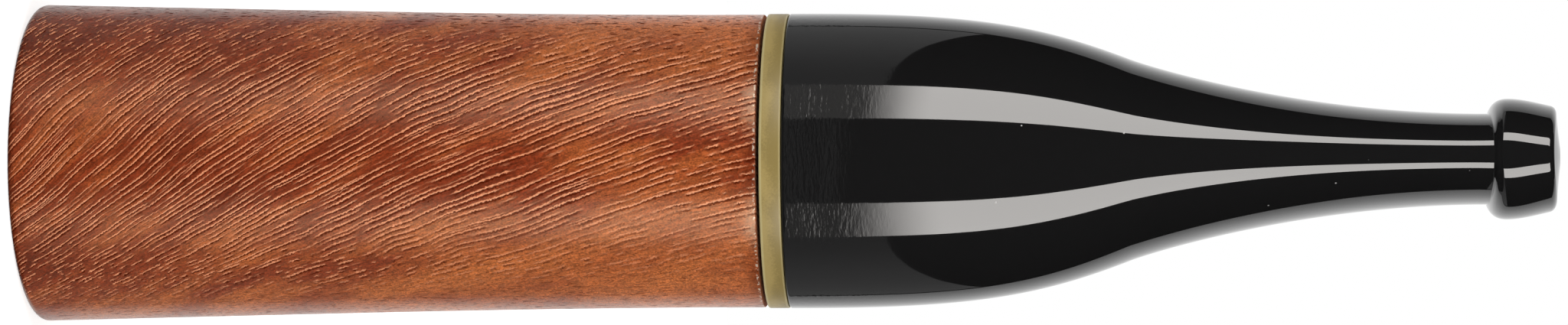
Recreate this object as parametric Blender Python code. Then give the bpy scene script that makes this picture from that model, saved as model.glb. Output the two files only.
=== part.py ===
"""A turned cigar holder: a wooden barrel, an accent ring and a push-fit mouthpiece with a filter in it.

Metres. +Z runs along the holder from the open rim of the cigar socket, at z = 0, to the lip.
The flattened bit is thin along X and wide along Y.
"""

import math

import bmesh
import bpy
from mathutils import Vector
from mathutils.geometry import interpolate_bezier

# Filter cartridge
FILTER_RADIUS = 0.0044
FILTER_LENGTH = 0.038
FILTER_STAND_OUT = 0.0015
SLEEVE_WALL = 0.0004
CAP_THICKNESS = 0.002
CAP_LAND = 0.0009
CAP_DISH = 0.0006
CAP_DISH_SLOPE = 0.0004
CAP_HOLE_RADIUS = 0.0006
CAP_HOLE_CIRCLE = 0.0018
CAP_HOLE_COUNT = 6

# Tenon tube, glued into the mouthpiece and pushed into the barrel
TENON_WALL = 0.0012
TENON_REACH = 0.0183
TENON_SEAT_DEPTH = 0.007
TENON_LEAD_IN = 0.0005

# Barrel
SOCKET_MOUTH_RADIUS = 0.00775
SOCKET_DEPTH = 0.0254
RIM_WALL = 0.00178
RIM_ROUND = 0.0005
MOUTH_ROUND = 0.0004
BARREL_TAPER = 0.0216
JOINT_WALL = 0.00285
JOINT_EDGE = 0.0001

# Accent ring
RING_THICKNESS = 0.00125
RING_PROUD = 0.00004
RING_EDGE = 0.0001

# Mouthpiece, outside
BODY_PROUD = 0.00005
BODY_STRAIGHT = 0.0006
TAPER_LEAD = 0.003
TAPER_WALL = 0.00138
TAPER_SLOPE = 0.392
SHOULDER_START_HANDLE = 0.0101
SHOULDER_END_HANDLE = 0.0058
WAIST_START_HANDLE = 0.0012
WAIST_END_HANDLE = 0.0108
NECK_RUN = 0.0208
NECK_WALL = 0.00137
LIP_LENGTH = 0.0044
LIP_RISE = 0.00089
LIP_CREST = 0.0014
LIP_FOOT_HANDLE = 0.00015
LIP_SHOULDER_HANDLE = 0.00125
LIP_CREST_HANDLE = 0.0008
LIP_FALL = 0.00043
LIP_FALL_HANDLE = 0.0008
LIP_END_ROUND = 0.0004
LIP_END_ANGLES = (13.0, 80.0)
LIP_END_DOME = 0.0002
LIP_BOW = 0.00055
WIDTH_STRAIGHT = 0.003
WIDTH_START_HANDLE = 0.0137
WIDTH_END_HANDLE = 0.0105
NECK_SIDE_WALL = 0.0027
LIP_SIDE_RISE = 0.0003

# Mouthpiece, smoke way
DRAFT_RADIUS = 0.0013
FUNNEL_WALL = 0.0009
FUNNEL_LENGTH = 0.0055
SLOT_HALF_WIDTH = 0.0028
SLOT_HALF_HEIGHT = 0.0007
SLOT_LENGTH = 0.0075

# Clearances
FILTER_FIT = 0.0002
THROAT_FIT = 0.0005
SLIDE_FIT = 0.0001
CAP_FIT = 0.0001
GLUE_LINE = 0.00005
JOINT_GAP = 0.0002
END_GAP = 0.0003

# Facets round a turned piece, and steps along a curve
SEGMENTS = 64
FILTER_SEGMENTS = 48
HOLE_SEGMENTS = 16
CURVE_STEPS = 11
LIP_STEPS = 4
LIP_SHOULDER_STEPS = 7
ROUND_STEPS = 3
SMOOTH_BELOW = math.radians(32)

# The most of a wall that the round on its edge may take
ROUND_SHARE = 0.4

# Radii that follow from the filter, from the inside out
tenon_bore = FILTER_RADIUS + FILTER_FIT
tenon_radius = tenon_bore + TENON_WALL
mortise_radius = tenon_radius + SLIDE_FIT
throat_radius = FILTER_RADIUS + THROAT_FIT
joint_radius = mortise_radius + JOINT_WALL
rim_radius = SOCKET_MOUTH_RADIUS + RIM_WALL

# Stations along the axis, from the rim up
tenon_z = SOCKET_DEPTH + END_GAP
ring_z = tenon_z + TENON_REACH
barrel_length = ring_z - JOINT_GAP
mouthpiece_z = ring_z + RING_THICKNESS + GLUE_LINE
filter_z = tenon_z - FILTER_STAND_OUT
tenon_length = mouthpiece_z + TENON_SEAT_DEPTH - END_GAP - tenon_z


def arc(centre, radius, start, end, steps=ROUND_STEPS):
    """Points (r, z) on an arc about centre, between two angles in degrees."""
    angles = [math.radians(start + (end - start) * i / steps) for i in range(steps + 1)]
    return [(centre[0] + radius * math.cos(a), centre[1] + radius * math.sin(a)) for a in angles]


def curve(start, start_handle, end_handle, end, steps=CURVE_STEPS):
    """Points on a Bezier curve, both ends included."""
    points = [Vector((*point, 0.0)) for point in (start, start_handle, end_handle, end)]
    return [tuple(point[:2]) for point in interpolate_bezier(*points, steps + 1)]


def height_on(points, z):
    """The radius at z on a run of points (r, z) whose z only rises."""
    for (low_r, low_z), (high_r, high_z) in zip(points, points[1:]):
        if low_z <= z <= high_z:
            return low_r + (high_r - low_r) * (z - low_z) / (high_z - low_z)
    return points[0][0] if z < points[0][1] else points[-1][0]


def finished(name, mesh_data, material, parent, z):
    """Turns a closed bmesh into a smooth-shaded object, z above its parent on the axis."""
    bmesh.ops.recalc_face_normals(mesh_data, faces=mesh_data.faces)
    mesh = bpy.data.meshes.new(name)
    mesh_data.to_mesh(mesh)
    mesh_data.free()
    mesh.shade_smooth()
    mesh.set_sharp_from_angle(angle=SMOOTH_BELOW)
    mesh.materials.append(material)
    obj = bpy.data.objects.new(name, mesh)
    bpy.context.scene.collection.objects.link(obj)
    obj.parent = parent
    obj.location.z = z
    return obj


def turned(name, outline, material, parent=None, z=0.0, segments=SEGMENTS):
    """Spins a closed outline of points (r, z) about the axis."""
    spun = bmesh.new()
    points = [spun.verts.new((r, 0.0, height)) for r, height in outline]
    edges = [spun.edges.new(pair) for pair in zip(points, points[1:] + points[:1])]
    bmesh.ops.spin(
        spun,
        geom=points + edges,
        cent=(0.0, 0.0, 0.0),
        axis=(0.0, 0.0, 1.0),
        angle=math.tau,
        steps=segments,
        use_merge=True,
    )
    return finished(name, spun, material, parent, z)


def lofted(name, sections, material, parent=None, z=0.0):
    """Skins a tube of oval sections (half thickness, half width, z), up outside and back down the bore."""
    skin = bmesh.new()
    turns = [math.tau * i / SEGMENTS for i in range(SEGMENTS)]
    loops = [
        [skin.verts.new((thick * math.cos(a), wide * math.sin(a), height)) for a in turns]
        for thick, wide, height in sections
    ]
    for lower, upper in zip(loops, loops[1:] + loops[:1]):
        for i in range(SEGMENTS):
            j = (i + 1) % SEGMENTS
            skin.faces.new((lower[i], lower[j], upper[j], upper[i]))
    return finished(name, skin, material, parent, z)


def finish(name, colour, roughness, metallic=0.0):
    """A Principled material with a linear base colour."""
    material = bpy.data.materials.new(name)
    material.use_nodes = True
    shader = material.node_tree.nodes["Principled BSDF"]
    shader.inputs["Base Color"].default_value = (*colour, 1.0)
    shader.inputs["Roughness"].default_value = roughness
    shader.inputs["Metallic"].default_value = metallic
    return material


def axis_empty(name, parent, z):
    """An empty on the holder's axis, which carries the pieces that move together."""
    empty = bpy.data.objects.new(name, None)
    bpy.context.scene.collection.objects.link(empty)
    empty.empty_display_size = joint_radius
    empty.parent = parent
    empty.location.z = z
    return empty


def barrel():
    """The wooden barrel: a conical socket for the cigar below, a mortise for the tenon above."""
    rim_round = min(RIM_ROUND, ROUND_SHARE * RIM_WALL)
    mouth_round = min(MOUTH_ROUND, ROUND_SHARE * RIM_WALL)
    third = barrel_length / 3
    rim = arc((rim_radius - rim_round, rim_round), rim_round, -90, 0)
    taper = curve(
        (rim_radius, rim_round),
        (rim_radius - BARREL_TAPER * third, third),
        (joint_radius, barrel_length - third),
        (joint_radius, barrel_length - JOINT_EDGE),
    )
    top = [
        (joint_radius - JOINT_EDGE, barrel_length),
        (mortise_radius + TENON_LEAD_IN, barrel_length),
        (mortise_radius, barrel_length - TENON_LEAD_IN),
    ]
    ledge = [(mortise_radius, SOCKET_DEPTH), (throat_radius, SOCKET_DEPTH)]
    mouth = arc((SOCKET_MOUTH_RADIUS + mouth_round, mouth_round), mouth_round, 180, 270)
    briar = finish("briar", (0.25, 0.07, 0.03), 0.38)
    return turned("barrel", rim + taper[1:] + top + ledge + mouth, briar)


def accent_ring(parent, z):
    """The amber-coloured ring glued to the mouthpiece's face, a touch proud of the barrel."""
    outer = joint_radius + RING_PROUD
    outline = [
        (mortise_radius, 0.0),
        (outer - RING_EDGE, 0.0),
        (outer, RING_EDGE),
        (outer, RING_THICKNESS - RING_EDGE),
        (outer - RING_EDGE, RING_THICKNESS),
        (mortise_radius, RING_THICKNESS),
    ]
    return turned("accent_ring", outline, finish("amber_acrylic", (0.36, 0.28, 0.1), 0.25), parent, z)


def tenon(parent, z):
    """The tube that plugs the mouthpiece into the barrel and holds the filter."""
    lead_in = min(TENON_LEAD_IN, ROUND_SHARE * TENON_WALL)
    outline = [
        (tenon_bore + lead_in, 0.0),
        (tenon_radius - lead_in, 0.0),
        (tenon_radius, lead_in),
        (tenon_radius, tenon_length),
        (tenon_bore, tenon_length),
        (tenon_bore, lead_in),
    ]
    return turned("tenon", outline, finish("white_tenon", (0.75, 0.73, 0.68), 0.45), parent, z)


def lip_end_round(neck, end):
    """The round edge of the lip's end. It stops short of square, because the end is slightly domed."""
    start_angle, end_angle = (math.radians(angle) for angle in LIP_END_ANGLES)
    radius = neck + LIP_RISE - LIP_FALL - LIP_END_ROUND * math.cos(start_angle)
    height = end - LIP_END_DOME - LIP_END_ROUND * math.sin(end_angle)
    return arc((radius, height), LIP_END_ROUND, *LIP_END_ANGLES)


def lip_outline(neck, start):
    """Half thickness of the lip: a round shoulder up to the crest, a slow fall and a round end."""
    crest = neck + LIP_RISE
    crest_z = start + LIP_CREST
    ending = lip_end_round(neck, start + LIP_LENGTH)
    fall = Vector((-math.tan(math.radians(LIP_END_ANGLES[0])), 1.0))
    shoulder = curve(
        (neck, start),
        (neck, start + LIP_FOOT_HANDLE),
        (crest, crest_z - LIP_SHOULDER_HANDLE),
        (crest, crest_z),
        steps=LIP_SHOULDER_STEPS,
    )
    middle = curve(
        (crest, crest_z),
        (crest, crest_z + LIP_CREST_HANDLE),
        tuple(Vector(ending[0]) - fall * LIP_FALL_HANDLE),
        ending[0],
        steps=LIP_STEPS,
    )
    return shoulder + middle[1:-1] + ending


def bow_back(mesh, neck_end, half_width):
    """Bows the lip from its crest on, so that it lies further back at its two narrow sides."""
    for vertex in mesh.vertices:
        share = min(max((vertex.co.z - neck_end) / LIP_CREST, 0.0), 1.0)
        bow = LIP_BOW * share * share * (3 - 2 * share)
        vertex.co.z -= bow * (vertex.co.y / half_width) ** 2


def mouthpiece(parent, z):
    """A round body that narrows to a flattened bit with a lip, bored for the filter and the smoke."""
    body = joint_radius + BODY_PROUD
    chamber_radius = tenon_bore
    seat_end = TENON_SEAT_DEPTH
    chamber_end = max(filter_z + FILTER_LENGTH + END_GAP - mouthpiece_z, seat_end + END_GAP)
    neck = DRAFT_RADIUS + NECK_WALL

    # Outside, seen thin: body, shoulder, waist, neck and lip
    taper_mid = (chamber_radius + TAPER_WALL, chamber_end + TAPER_LEAD)
    along = Vector((-TAPER_SLOPE, 1.0)).normalized()
    neck_end = taper_mid[1] + NECK_RUN
    shoulder = curve(
        (body, BODY_STRAIGHT),
        (body, BODY_STRAIGHT + SHOULDER_START_HANDLE),
        tuple(Vector(taper_mid) - along * SHOULDER_END_HANDLE),
        taper_mid,
    )
    waist = curve(
        taper_mid,
        tuple(Vector(taper_mid) + along * WAIST_START_HANDLE),
        (neck, neck_end - WAIST_END_HANDLE),
        (neck, neck_end),
    )
    face = [(body - JOINT_EDGE, 0.0), (body, JOINT_EDGE)]
    thin = face + shoulder + waist[1:] + lip_outline(neck, neck_end)[1:]

    # Outside, seen wide: one long curve to the neck, then a lower rise at the lip's sides
    end = neck_end + LIP_LENGTH
    end_thick, end_round_start = lip_end_round(neck, end)[0]
    side_share = LIP_SIDE_RISE / LIP_RISE
    neck_width = SLOT_HALF_WIDTH + NECK_SIDE_WALL
    wide_run = curve(
        (body, WIDTH_STRAIGHT),
        (body, WIDTH_STRAIGHT + WIDTH_START_HANDLE),
        (neck_width, neck_end - WIDTH_END_HANDLE),
        (neck_width, neck_end),
        steps=3 * CURVE_STEPS,
    )
    outside = []
    for thick, height in thin:
        if height <= WIDTH_STRAIGHT:
            wide = thick
        elif height <= neck_end:
            wide = max(thick, height_on(wide_run, height))
        elif height <= end_round_start:
            wide = neck_width + (thick - neck) * side_share
        else:
            wide = neck_width + (end_thick - neck) * side_share + thick - end_thick
        outside.append((thick, wide, height))

    # Inside: slot in the lip, draft hole, funnel, filter chamber and tenon seat
    slot = []
    for i in range(ROUND_STEPS + 1):
        share = i / ROUND_STEPS
        ease = share * share
        slot_thick = DRAFT_RADIUS + (SLOT_HALF_HEIGHT - DRAFT_RADIUS) * ease
        slot_wide = DRAFT_RADIUS + (SLOT_HALF_WIDTH - DRAFT_RADIUS) * ease
        slot.append((slot_thick, slot_wide, end - SLOT_LENGTH * (1 - share)))
    funnel_radius = chamber_radius - FUNNEL_WALL
    round_way = [
        (DRAFT_RADIUS, chamber_end + FUNNEL_LENGTH),
        (funnel_radius, chamber_end),
        (chamber_radius, chamber_end),
        (chamber_radius, seat_end),
        (mortise_radius, seat_end),
        (mortise_radius, 0.0),
    ]
    inside = slot[::-1] + [(radius, radius, height) for radius, height in round_way]
    acrylic = finish("black_acrylic", (0.006, 0.006, 0.006), 0.12)
    bit = lofted("mouthpiece", outside + inside, acrylic, parent, z)
    bow_back(bit.data, neck_end, neck_width)
    return bit


def filter_sleeve(parent):
    """The paper tube of the filter cartridge."""
    inner = FILTER_RADIUS - SLEEVE_WALL
    outline = [
        (inner, 0.0),
        (FILTER_RADIUS, 0.0),
        (FILTER_RADIUS, FILTER_LENGTH),
        (inner, FILTER_LENGTH),
    ]
    paper = finish("filter_paper", (0.8, 0.76, 0.66), 0.8)
    return turned("filter_sleeve", outline, paper, parent, segments=FILTER_SEGMENTS)


def cylinder(radius, length):
    """A capped cylinder that stands on z = 0."""
    solid = bmesh.new()
    made = bmesh.ops.create_cone(
        solid, cap_ends=True, segments=FILTER_SEGMENTS, radius1=radius, radius2=radius, depth=length
    )
    bmesh.ops.translate(solid, vec=(0.0, 0.0, length / 2), verts=made["verts"])
    solid.normal_update()
    return solid


def hole_cutter(name, parent, z):
    """Pins for a filter cap's holes: a ring of them and one in the middle."""
    pins = bmesh.new()
    centres = [(0.0, 0.0)]
    for i in range(CAP_HOLE_COUNT):
        angle = math.tau * i / CAP_HOLE_COUNT
        centres.append((CAP_HOLE_CIRCLE * math.cos(angle), CAP_HOLE_CIRCLE * math.sin(angle)))
    for x, y in centres:
        made = bmesh.ops.create_cone(
            pins,
            cap_ends=True,
            segments=HOLE_SEGMENTS,
            radius1=CAP_HOLE_RADIUS,
            radius2=CAP_HOLE_RADIUS,
            depth=3 * CAP_THICKNESS,
        )
        bmesh.ops.translate(pins, vec=(x, y, CAP_THICKNESS / 2), verts=made["verts"])
    cutter = finished(name, pins, finish(name, (0.5, 0.5, 0.5), 0.5), parent, z)
    cutter.hide_render = True
    cutter.display_type = "WIRE"
    return cutter


def filter_cap(name, parent, z, faces_up, material):
    """A perforated plug with a dished outer face, pressed into one end of the sleeve."""
    plug = cylinder(FILTER_RADIUS - SLEEVE_WALL - CAP_FIT, CAP_THICKNESS)
    outer_face = max(plug.faces, key=lambda face: face.normal.z if faces_up else -face.normal.z)
    bmesh.ops.inset_region(plug, faces=[outer_face], thickness=CAP_LAND)
    bmesh.ops.inset_region(plug, faces=[outer_face], thickness=CAP_DISH_SLOPE, depth=-CAP_DISH)
    cap = finished(name, plug, material, parent, z)
    holes = cap.modifiers.new("holes", "BOOLEAN")
    holes.operation = "DIFFERENCE"
    holes.object = hole_cutter(name + "_holes", parent, z)
    return cap


def filter_charcoal(parent):
    """The bed of charcoal granules between the caps, as one packed plug."""
    start = CAP_THICKNESS + CAP_FIT
    bed = cylinder(FILTER_RADIUS - SLEEVE_WALL - CAP_FIT, FILTER_LENGTH - 2 * start)
    return finished("filter_charcoal", bed, finish("charcoal", (0.02, 0.02, 0.02), 0.9), parent, start)


def main():
    for old in list(bpy.data.objects):
        bpy.data.objects.remove(old, do_unlink=True)
    barrel()
    pull_axis = axis_empty("pull_axis", None, ring_z)
    turn_axis = axis_empty("turn_axis", pull_axis, 0.0)
    filter_axis = axis_empty("filter_axis", pull_axis, filter_z - ring_z)
    tenon(pull_axis, tenon_z - ring_z)
    accent_ring(turn_axis, 0.0)
    mouthpiece(turn_axis, mouthpiece_z - ring_z)
    filter_sleeve(filter_axis)
    filter_cap("filter_cap_front", filter_axis, 0.0, False, finish("cap_ceramic", (0.78, 0.76, 0.72), 0.6))
    rear = FILTER_LENGTH - CAP_THICKNESS
    filter_cap("filter_cap_rear", filter_axis, rear, True, finish("cap_plastic", (0.8, 0.8, 0.78), 0.5))
    filter_charcoal(filter_axis)


main()
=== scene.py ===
# %% [markdown]
# # A turned cigar holder
# The holder is a briar barrel, a thin amber ring and a black acrylic mouthpiece, with a filter inside.
# The imported model gives every piece its place and size, so it is loaded first and never moved.

# %% Load the frame
import math
from functools import partialmethod

import bmesh
import bpy
from mathutils import Matrix, Vector
from mathutils.geometry import interpolate_bezier


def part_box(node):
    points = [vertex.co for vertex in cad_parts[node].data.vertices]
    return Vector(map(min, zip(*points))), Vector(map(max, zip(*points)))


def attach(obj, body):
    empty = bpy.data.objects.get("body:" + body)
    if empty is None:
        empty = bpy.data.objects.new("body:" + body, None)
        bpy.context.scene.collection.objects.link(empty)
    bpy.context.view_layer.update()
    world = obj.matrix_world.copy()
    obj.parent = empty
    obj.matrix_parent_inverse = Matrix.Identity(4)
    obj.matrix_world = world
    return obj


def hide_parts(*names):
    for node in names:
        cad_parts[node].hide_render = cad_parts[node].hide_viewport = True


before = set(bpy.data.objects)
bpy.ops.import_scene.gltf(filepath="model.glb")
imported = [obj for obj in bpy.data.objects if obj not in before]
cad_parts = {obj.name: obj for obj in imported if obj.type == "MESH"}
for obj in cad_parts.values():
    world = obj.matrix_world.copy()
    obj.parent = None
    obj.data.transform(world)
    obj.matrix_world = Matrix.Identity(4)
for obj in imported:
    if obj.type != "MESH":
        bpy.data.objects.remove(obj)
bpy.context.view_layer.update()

MM = 0.001
print("pieces in the frame:", ", ".join(sorted(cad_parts)))

# %% [markdown]
# ## Camera
# The photograph looks at the holder from the side, from close by, so the near middle is a little larger
# than the ends. The lens comes from a focal length in pixels, found by matching the taper of the barrel.
# The holder stands on its rim here, so the camera is rolled a quarter turn and the holder's axis runs
# across the picture, with a slight tilt of its own.

# %% Camera
IMAGE_WIDTH = 2048
FOCAL_PIXELS = 6165
CAMERA_DISTANCE = 281.2 * MM
CAMERA_HEIGHT = 64.73 * MM
CAMERA_AZIMUTH = math.radians(4)
CAMERA_PITCH = -0.0705
CAMERA_ROLL = 0.0025
AXIS_LIFT_PIXELS = 2.0

to_camera = Vector((math.sin(CAMERA_AZIMUTH), -math.cos(CAMERA_AZIMUTH), 0.0))
axis = Vector((0.0, 0.0, 1.0))
picture_down = axis.cross(to_camera)
forward = -to_camera * math.cos(CAMERA_PITCH) + axis * math.sin(CAMERA_PITCH)
picture_right = axis * math.cos(CAMERA_PITCH) + to_camera * math.sin(CAMERA_PITCH)


def add_object(name, data):
    """Puts a new object in the scene."""
    added = bpy.data.objects.new(name, data)
    bpy.context.scene.collection.objects.link(added)
    return added


camera_data = bpy.data.cameras.new("camera")
camera_data.lens = camera_data.sensor_width * FOCAL_PIXELS / IMAGE_WIDTH
camera = add_object("camera", camera_data)
turn = Matrix((picture_right, -picture_down, -forward)).transposed()
turn = Matrix.Rotation(CAMERA_ROLL, 3, forward) @ turn
turn = Matrix.Rotation(-AXIS_LIFT_PIXELS / FOCAL_PIXELS, 3, picture_right) @ turn
standpoint = Matrix.Translation(axis * CAMERA_HEIGHT + to_camera * CAMERA_DISTANCE)
camera.matrix_world = standpoint @ turn.to_4x4()
bpy.context.scene.camera = camera
print(f"lens {camera_data.lens:.1f} mm, {CAMERA_DISTANCE / MM:.0f} mm from the axis")

# %% [markdown]
# ## Nodes as expressions
# Materials and Geometry Nodes are graphs, and a graph built by hand in Python is long to read. This
# small class wraps one output socket. Plain operators on it add Math nodes, so a formula can be written
# as a formula, and one method adds any other node from its type, its settings and its inputs.


# %% A socket that takes part in formulas
class Wire:
    """One output socket of a node tree."""

    def __init__(self, socket):
        self.socket = socket
        self.tree = socket.id_data

    def node(self, kind, settings=(), inputs=(), output=0):
        """Adds a node with these settings and inputs, and gives one of its outputs."""
        made = self.tree.nodes.new(kind)
        for name, value in dict(settings).items():
            if name == "stops":
                set_stops(made.color_ramp, value)
            else:
                setattr(made, name, value)
        for name, value in dict(inputs).items():
            plug(made.inputs[name], value)
        return Wire(made.outputs[output])

    def math(self, operation, *others):
        """Adds a Math node that has this wire as its first value."""
        return self.node("ShaderNodeMath", {"operation": operation}, enumerate((self, *others)))

    def __rsub__(self, other):
        return self.node("ShaderNodeMath", {"operation": "SUBTRACT"}, {0: other, 1: self})

    __add__ = __radd__ = partialmethod(math, "ADD")
    __sub__ = partialmethod(math, "SUBTRACT")
    __mul__ = __rmul__ = partialmethod(math, "MULTIPLY")
    __truediv__ = partialmethod(math, "DIVIDE")


print("Wire is ready")

# %% [markdown]
# ## Filling sockets
# A socket takes a link or a plain value, and a colour has three numbers here where Blender wants four. A
# vector is often wanted in parts, or made from parts. These helpers see to that.


# %% Socket helpers
def plug(socket, value):
    """Links a wire to a socket, or sets the socket to a plain value."""
    if isinstance(value, Wire):
        socket.id_data.links.new(value.socket, socket)
    elif isinstance(value, tuple) and len(value) == 3 and socket.type == "RGBA":
        socket.default_value = (*value, 1.0)
    else:
        socket.default_value = value


def set_stops(ramp, stops):
    """Gives a colour ramp its stops, each a position and a colour."""
    while len(ramp.elements) < len(stops):
        ramp.elements.new(1.0)
    for element, (position, colour) in zip(ramp.elements, stops):
        element.position = position
        element.color = (*colour, 1.0)


def split(vector):
    """The three parts of a vector."""
    first = vector.node("ShaderNodeSeparateXYZ", inputs={0: vector})
    return [Wire(part) for part in first.socket.node.outputs]


def join(x, y, z):
    """A vector from three values, of which the first is a wire."""
    return x.node("ShaderNodeCombineXYZ", inputs={"X": x, "Y": y, "Z": z})


print("socket helpers are ready")

# %% [markdown]
# ## Starting and ending a tree
# A Geometry Nodes tree here starts with named inputs for its sizes. It ends in a real mesh with its
# material, because an export would drop instances. Two helpers do that for every tree.


# %% Tree helpers
def new_tree(name, **inputs):
    """A Geometry Nodes tree with named inputs: gives it and a wire for each input."""
    tree = bpy.data.node_groups.new(name, "GeometryNodeTree")
    for label, kind in inputs.items():
        tree.interface.new_socket(label, in_out="INPUT", socket_type="NodeSocket" + kind)
    tree.interface.new_socket("Piece", in_out="OUTPUT", socket_type="NodeSocketGeometry")
    source = tree.nodes.new("NodeGroupInput")
    given = {label: Wire(source.outputs[label]) for label in inputs}
    return tree, given


def end_tree(tree, geometry, finish):
    """Ends a tree as every tree here ends: a real mesh with its material."""
    real = geometry.node("GeometryNodeRealizeInstances", inputs={"Geometry": geometry})
    painted = real.node("GeometryNodeSetMaterial", inputs={"Geometry": real, "Material": finish})
    target = tree.nodes.new("NodeGroupOutput")
    plug(target.inputs["Piece"], painted)


print("tree helpers are ready")

# %% [markdown]
# ## A lathe in Geometry Nodes
# Nearly every piece here comes off a lathe, so one tree turns them all. It takes an outline as loose
# points, each holding a half thickness, a half width and a height, and lays a grid of points round the
# axis through them. A round piece has the two halves alike, and the flattened bit of the mouthpiece lets
# them differ. A Screw modifier could turn the round pieces, but not the oval one.

# %% The lathe tree
MERGE_WITHIN = 0.0005 * MM


def lathe_tree():
    tree, given = new_tree("lathe", Outline="Geometry", Segments="Int", Finish="Material")
    outline = given["Outline"]
    count = outline.node(
        "GeometryNodeAttributeDomainSize", {"component": "MESH"}, {"Geometry": outline}, "Point Count"
    )
    rows = count + 1
    columns = given["Segments"] + 1
    skin = outline.node("GeometryNodeMeshGrid", inputs={"Vertices X": columns, "Vertices Y": rows})
    index = outline.node("GeometryNodeInputIndex")
    here = outline.node("GeometryNodeInputPosition")
    turn_back = index.math("MODULO", rows).math("MODULO", count)
    point = outline.node(
        "GeometryNodeSampleIndex",
        {"data_type": "FLOAT_VECTOR", "domain": "POINT"},
        {"Geometry": outline, "Value": here, "Index": turn_back},
    )
    thick, wide, height = split(point)
    angle = (index / rows).math("FLOOR") * math.tau / given["Segments"]
    spot = join(thick * angle.math("COSINE"), wide * angle.math("SINE"), height)
    turned = skin.node("GeometryNodeSetPosition", inputs={"Geometry": skin, "Position": spot})
    closed = turned.node(
        "GeometryNodeMergeByDistance", inputs={"Geometry": turned, "Distance": MERGE_WITHIN}
    )
    end_tree(tree, closed, given["Finish"])
    return tree


LATHE = lathe_tree()
print("lathe:", len(LATHE.nodes), "nodes")

# %% [markdown]
# ## From a tree to a piece
# A tree runs as a modifier. Its result is copied to a plain mesh and the modifier is taken off, so what
# is seen is also what an export would take. The faces are made to point outwards, and only edges sharper
# than a set angle stay sharp.

# %% Make a piece
SEGMENTS = 256
SHARP_ABOVE = math.radians(32)


def make(name, tree, start, **inputs):
    """Runs a tree on a starting mesh and leaves its result as a plain mesh object at the origin."""
    piece = add_object(name, start)
    modifier = piece.modifiers.new("nodes", "NODES")
    modifier.node_group = tree
    for item in tree.interface.items_tree:
        if item.in_out == "INPUT" and item.name in inputs:
            modifier[item.identifier] = inputs[item.name]
    graph = bpy.context.evaluated_depsgraph_get()
    mesh = bpy.data.meshes.new_from_object(piece.evaluated_get(graph))
    piece.modifiers.remove(modifier)
    piece.data = mesh
    mesh.name = name
    surface = bmesh.new()
    surface.from_mesh(mesh)
    bmesh.ops.recalc_face_normals(surface, faces=surface.faces)
    surface.to_mesh(mesh)
    surface.free()
    mesh.shade_smooth()
    mesh.set_sharp_from_angle(angle=SHARP_ABOVE)
    print(f"{name}: {sum(len(face.vertices) - 2 for face in mesh.polygons)} triangles")
    return piece


def turn_on_lathe(name, outline, finish, segments=SEGMENTS):
    """Turns an outline of points (half thickness, half width, height), or (radius, height)."""
    points = [(p[0], p[0], p[1]) if len(p) == 2 else p for p in outline]
    start = bpy.data.meshes.new(name)
    start.from_pydata(points, [], [])
    return make(name, LATHE, start, Segments=segments, Finish=finish)


def fit(piece, body, node):
    """Puts a piece in a node's place on its body."""
    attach(piece, body)
    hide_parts(node)


print(f"large pieces are turned in {SEGMENTS} steps")

# %% [markdown]
# ## Outlines from arcs and curves
# A turner works from a few sizes: the rim, the joint, a taper and some rounded edges. Here an arc gives a
# rounded edge and a Bezier curve a taper, so an outline is a handful of those and no list of points.


# %% Outline helpers
def arc(centre, radius, start, end, steps=8):
    """Points (r, z) on an arc about centre, between two angles in degrees."""
    angles = [math.radians(start + (end - start) * i / steps) for i in range(steps + 1)]
    return [(centre[0] + radius * math.cos(a), centre[1] + radius * math.sin(a)) for a in angles]


def curve(start, start_handle, end_handle, end, steps=48):
    """Points on a Bezier curve, both ends included."""
    points = [Vector((*point, 0.0)) for point in (start, start_handle, end_handle, end)]
    return [tuple(point[:2]) for point in interpolate_bezier(*points, steps + 1)]


def radius_at(points, z):
    """The radius at z on a run of points (r, z) whose z only rises."""
    for (low_r, low_z), (high_r, high_z) in zip(points, points[1:]):
        if low_z <= z <= high_z:
            return low_r + (high_r - low_r) * (z - low_z) / (high_z - low_z)
    return points[0][0] if z < points[0][1] else points[-1][0]


rim_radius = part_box("barrel")[1].x
barrel_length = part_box("barrel")[1].z
ring_low, ring_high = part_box("accent_ring")
tenon_low, tenon_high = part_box("tenon")
bit_low, bit_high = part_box("mouthpiece")
sleeve_low, sleeve_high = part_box("filter_sleeve")
print(f"rim {2 * rim_radius / MM:.2f} mm across, barrel {barrel_length / MM:.2f} mm long")

# %% [markdown]
# ## Paint by position
# Every finish is painted by the place of a point in the holder's own frame, in millimetres, so a pattern
# has its real size and runs through the piece as wood does. One helper starts a material and gives that
# place, and one stretches it.


# %% Place helpers
def new_finish(name):
    """A material: gives it, its Principled shader, and the place of a point in millimetres."""
    material = bpy.data.materials.new(name)
    material.use_nodes = True
    shader = material.node_tree.nodes["Principled BSDF"]
    place = Wire(material.node_tree.nodes.new("ShaderNodeTexCoord").outputs["Object"])
    in_mm = place.node("ShaderNodeVectorMath", {"operation": "SCALE"}, {0: place, "Scale": 1 / MM})
    return material, shader, in_mm


def stretch(vector, x, y, z):
    """A vector with each part divided by a length, so noise on it has grains of about that size."""
    return vector.node("ShaderNodeVectorMath", {"operation": "DIVIDE"}, {0: vector, 1: (x, y, z)})


print("place helpers are ready")

# %% [markdown]
# ## Variation
# No real surface has one flat colour. Noise gives the variation, a smooth step turns it into a mask or a
# range of values, and a mix puts it to use. Noise seldom comes near 0 or 1, so a step over it starts and
# ends closer to the middle. Every finish then gets a colour, a roughness and a fine relief.

# %% Variation helpers
NOISE_SPAN = (0.2, 0.8)
CLOUD_SPAN = (0.35, 0.65)
FINE_DEPTH = 0.02 * MM


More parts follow.
